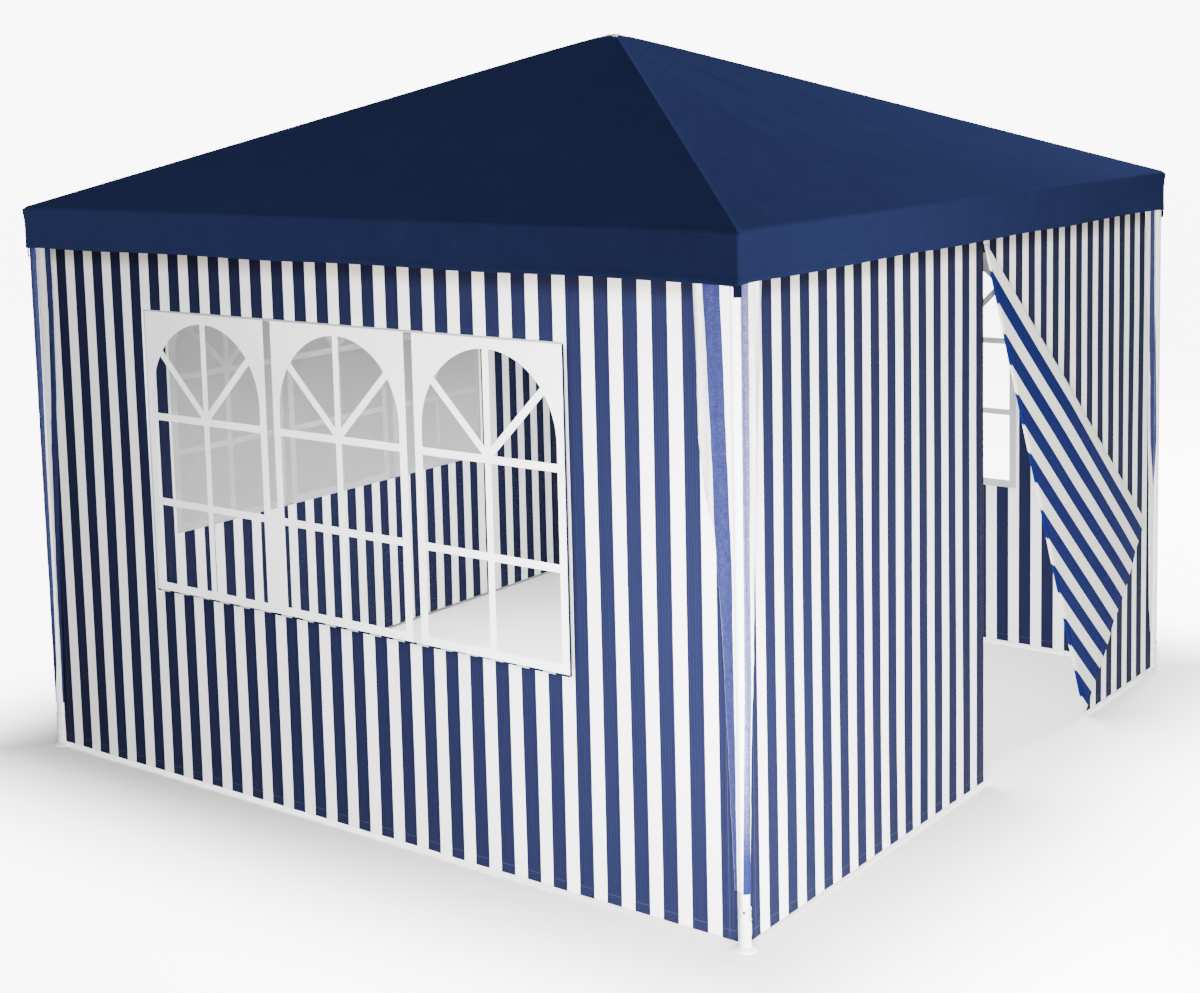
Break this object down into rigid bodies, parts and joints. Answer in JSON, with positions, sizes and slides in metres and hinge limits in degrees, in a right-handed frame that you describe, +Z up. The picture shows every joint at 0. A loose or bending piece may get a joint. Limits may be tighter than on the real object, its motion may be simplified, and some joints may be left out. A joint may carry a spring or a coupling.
{
  "type": "garden gazebo",
  "caption": "Square party-tent gazebo with a navy pyramid canopy on a tube frame, and striped sheet walls with arched-pattern windows and a doorway whose flap folds back.",
  "frame": {"origin": "on the ground, at the middle of the four feet", "axes": "+Z up; -Y faces out of the door wall; +X to the right when facing that wall from outside"},
  "size_m": [3.005, 3.005, 2.5194],
  "materials": {
    "leg_tube": "satin",
    "eave_rail": "satin",
    "rafter": "satin",
    "foot": "satin",
    "connector": "satin",
    "canopy": "coated",
    "valance": "coated",
    "wall_sheet": "coated",
    "door_sheet": "coated",
    "flap_sheet": "coated",
    "leg_wrap": "coated",
    "window_film": "clear film"
  },
  "bodies": {
    "frame_and_sheets": {"leg_front_left": "leg_tube", "leg_front_right": "leg_tube", "leg_back_right": "leg_tube", "leg_back_left": "leg_tube", "foot_front_left": "foot", "foot_front_right": "foot", "foot_back_right": "foot", "foot_back_left": "foot", "corner_connector_front_left": "connector", "corner_connector_front_right": "connector", "corner_connector_back_right": "connector", "corner_connector_back_left": "connector", "eave_rail_front": "eave_rail", "eave_rail_right": "eave_rail", "eave_rail_back": "eave_rail", "eave_rail_left": "eave_rail", "rafter_front_left": "rafter", "rafter_front_right": "rafter", "rafter_back_right": "rafter", "rafter_back_left": "rafter", "roof_panel_front": "canopy", "roof_panel_right": "canopy", "roof_panel_back": "canopy", "roof_panel_left": "canopy", "valance_front": "valance", "valance_right": "valance", "valance_back": "valance", "valance_left": "valance", "window_wall_right": "wall_sheet", "window_wall_back": "wall_sheet", "window_wall_left": "wall_sheet", "window_film_right": "window_film", "window_film_back": "window_film", "window_film_left": "window_film", "leg_wrap_front_left": "leg_wrap", "leg_wrap_front_right": "leg_wrap", "leg_wrap_back_right": "leg_wrap", "leg_wrap_back_left": "leg_wrap", "crown_connector": "connector", "door_wall_left": "door_sheet", "door_wall_right": "door_sheet"},
    "door_flap": {"door_flap": "flap_sheet"}
  },
  "joints": [
    {"name": "flap_fold", "type": "hinge", "parent": "frame_and_sheets", "child": "door_flap", "pos_m": [-0.01803, -1.474, 1.8], "axis": [0.4147, 0, -0.91], "range_deg": [0, 180]}
  ]
}
